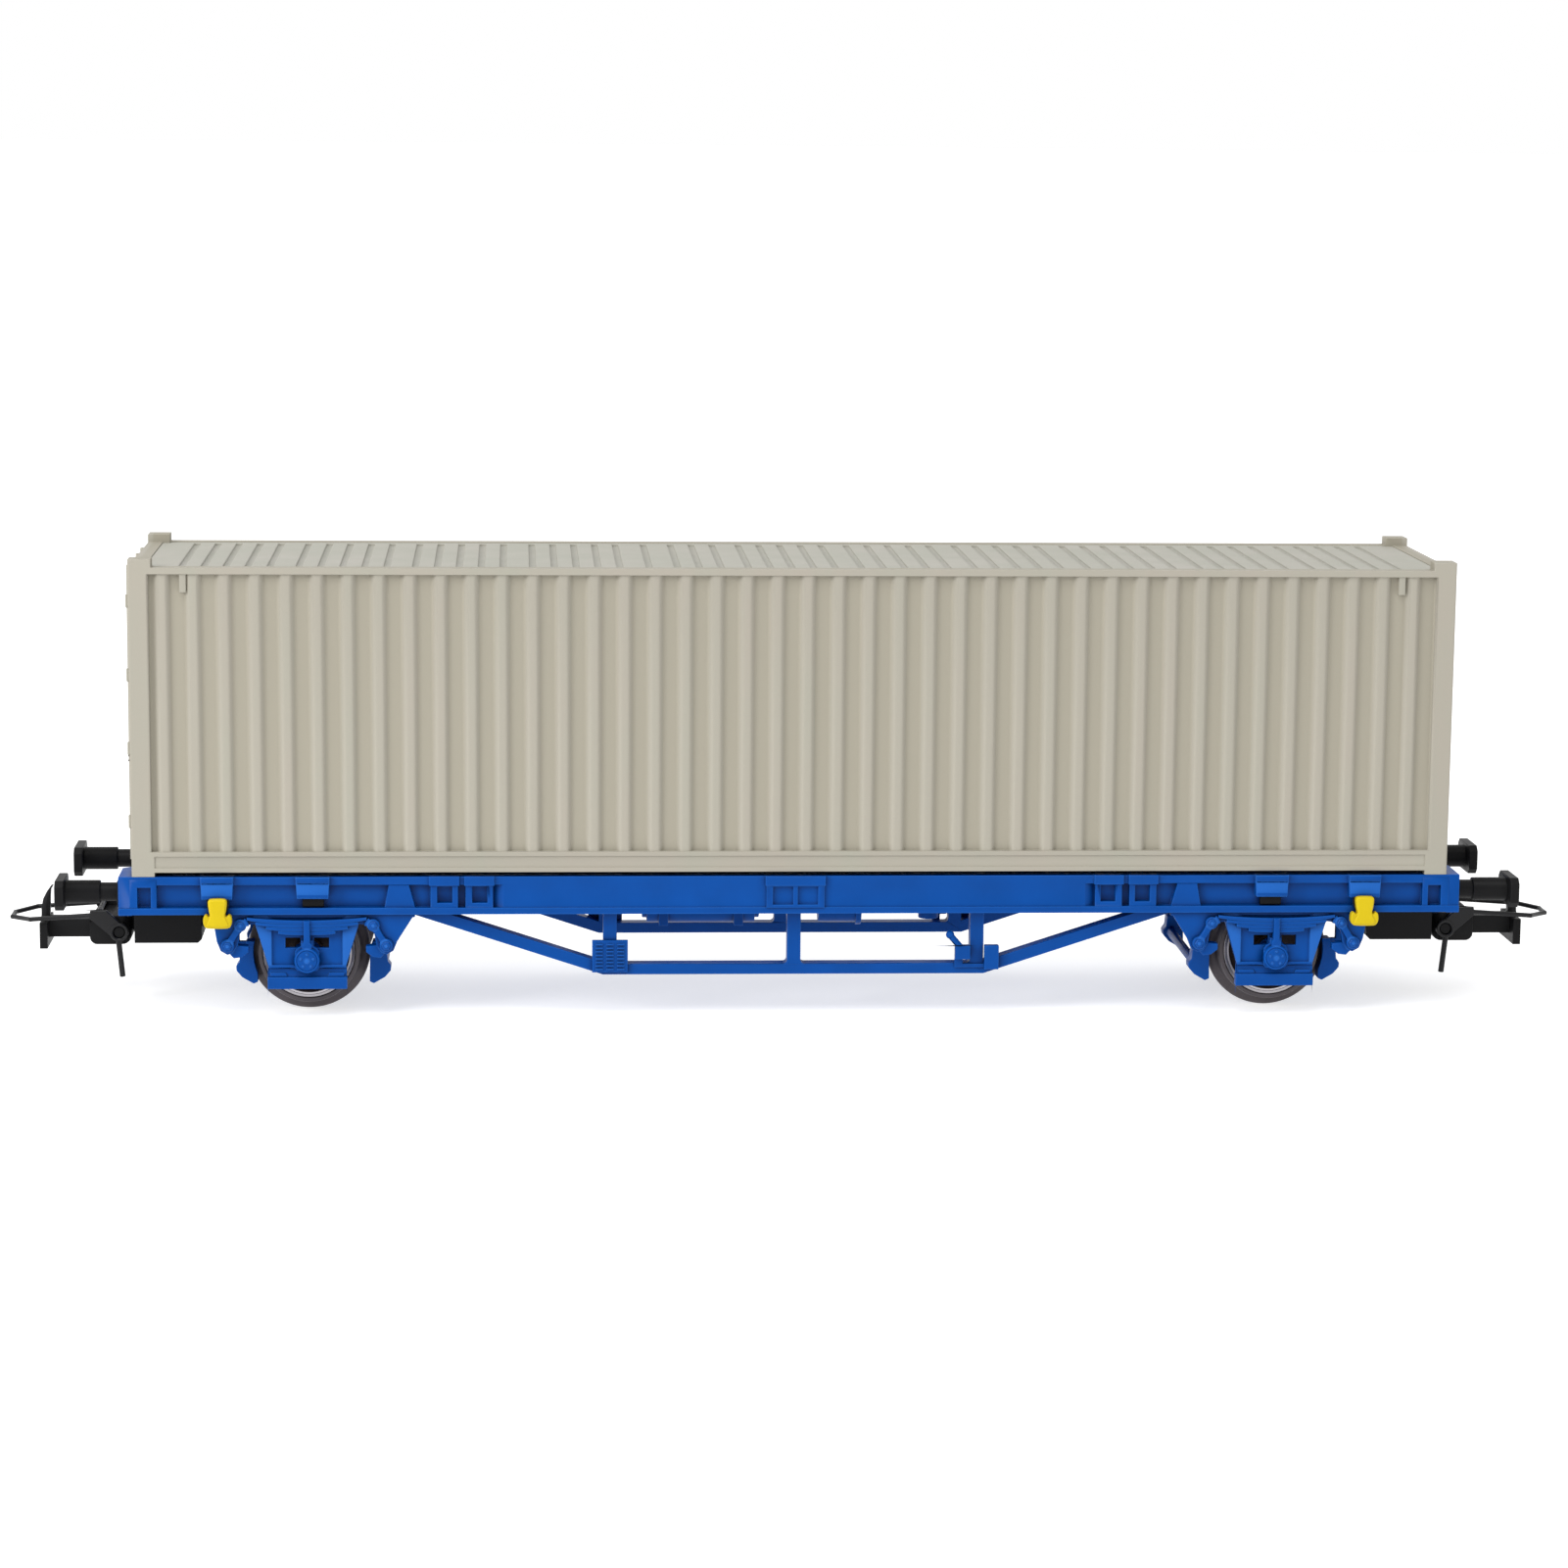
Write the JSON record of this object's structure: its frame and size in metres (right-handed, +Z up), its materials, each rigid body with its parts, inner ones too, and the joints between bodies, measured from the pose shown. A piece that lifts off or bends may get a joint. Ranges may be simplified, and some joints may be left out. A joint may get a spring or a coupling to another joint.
{
  "type": "model flat car",
  "caption": "Two-axle scale-model container flat wagon with truss-braced blue underframe, spoke-free flanged wheels, bow couplers and a lift-off ribbed container.",
  "frame": {"origin": "middle of the wagon, on the plane of the wheel flange bottoms", "axes": "+X along the wagon towards end b, +Y towards the left side, +Z up"},
  "size_m": [0.1686, 0.0308, 0.0491],
  "materials": {
    "blue_plastic": "satin moulded blue",
    "black_plastic": "satin moulded black",
    "black_wire": "blackened wire",
    "yellow_plastic": "moulded yellow",
    "container_resin": "bare printed resin",
    "container_roof_resin": "bare printed resin",
    "blackened_tyre": "blackened, turned",
    "brown_plastic": "moulded dark brown",
    "axle_steel": "turned",
    "cup_brass": "turned",
    "ballast_steel": "rolled"
  },
  "bodies": {
    "wagon": {"frame": "blue_plastic", "deck": "blue_plastic", "ballast_weight": "ballast_steel", "truss_right": "blue_plastic", "truss_left": "blue_plastic", "load_panel_right": "blue_plastic", "load_panel_left": "blue_plastic", "brake_changeover_right": "blue_plastic", "brake_changeover_left": "blue_plastic", "air_reservoir": "blue_plastic", "brake_cylinder": "blue_plastic", "distributor_valve": "blue_plastic", "brake_gear_a": "blue_plastic", "brake_gear_b": "blue_plastic", "axle_guard_a_right": "blue_plastic", "axle_guard_a_left": "blue_plastic", "axle_guard_b_right": "blue_plastic", "axle_guard_b_left": "blue_plastic", "leaf_spring_a_right": "blue_plastic", "leaf_spring_a_left": "blue_plastic", "leaf_spring_b_right": "blue_plastic", "leaf_spring_b_left": "blue_plastic", "axle_box_a_right": "blue_plastic", "axle_box_a_left": "blue_plastic", "axle_box_b_right": "blue_plastic", "axle_box_b_left": "blue_plastic", "bearing_cup_a_right": "cup_brass", "bearing_cup_a_left": "cup_brass", "bearing_cup_b_right": "cup_brass", "bearing_cup_b_left": "cup_brass", "tow_hook_a_right": "yellow_plastic", "tow_hook_a_left": "yellow_plastic", "tow_hook_b_right": "yellow_plastic", "tow_hook_b_left": "yellow_plastic", "buffer_a_right": "black_plastic", "buffer_a_left": "black_plastic", "buffer_b_right": "black_plastic", "buffer_b_left": "black_plastic", "coupler_guide_a": "black_plastic", "coupler_guide_b": "black_plastic"},
    "wheelset_a": {"axle_a": "axle_steel", "wheel_tyres_a": "blackened_tyre", "wheel_discs_a": "brown_plastic"},
    "wheelset_b": {"axle_b": "axle_steel", "wheel_tyres_b": "blackened_tyre", "wheel_discs_b": "brown_plastic"},
    "coupler_a": {"coupler_head_a": "black_plastic"},
    "coupler_b": {"coupler_head_b": "black_plastic"},
    "bow_a": {"coupler_bow_a": "black_wire"},
    "bow_b": {"coupler_bow_b": "black_wire"},
    "container": {"container_shell": "container_resin", "container_roof": "container_roof_resin", "container_floor": "container_resin", "container_doors": "container_resin", "door_hinges": "container_resin", "lock_rods": "container_resin"}
  },
  "joints": [
    {"name": "wheelset_a_spin", "type": "hinge", "parent": "wagon", "child": "wheelset_a", "pos_m": [-0.05175, 0, 0.0065], "axis": [0, 1, 0], "continuous": true},
    {"name": "wheelset_b_spin", "type": "hinge", "parent": "wagon", "child": "wheelset_b", "pos_m": [0.05175, 0, 0.0065], "axis": [0, 1, 0], "continuous": true},
    {"name": "coupler_a_swing", "type": "hinge", "parent": "wagon", "child": "coupler_a", "pos_m": [-0.0656, 0, 0.0082], "axis": [0, 0, 1], "range_deg": [-7, 7], "stiffness_Nm_per_rad": 0.0001},
    {"name": "coupler_b_swing", "type": "hinge", "parent": "wagon", "child": "coupler_b", "pos_m": [0.0656, 0, 0.0082], "axis": [0, 0, 1], "range_deg": [-7, 7], "stiffness_Nm_per_rad": 0.0001},
    {"name": "bow_a_lift", "type": "hinge", "parent": "coupler_a", "child": "bow_a", "pos_m": [-0.0724, 0, 0.00755], "axis": [0, 1, 0], "range_deg": [0, 25]},
    {"name": "bow_b_lift", "type": "hinge", "parent": "coupler_b", "child": "bow_b", "pos_m": [0.0724, 0, 0.00755], "axis": [0, -1, 0], "range_deg": [0, 25]},
    {"name": "container_lift", "type": "slide", "parent": "wagon", "child": "container", "axis": [0, 0, 1], "range_m": [0, 0.04]}
  ]
}
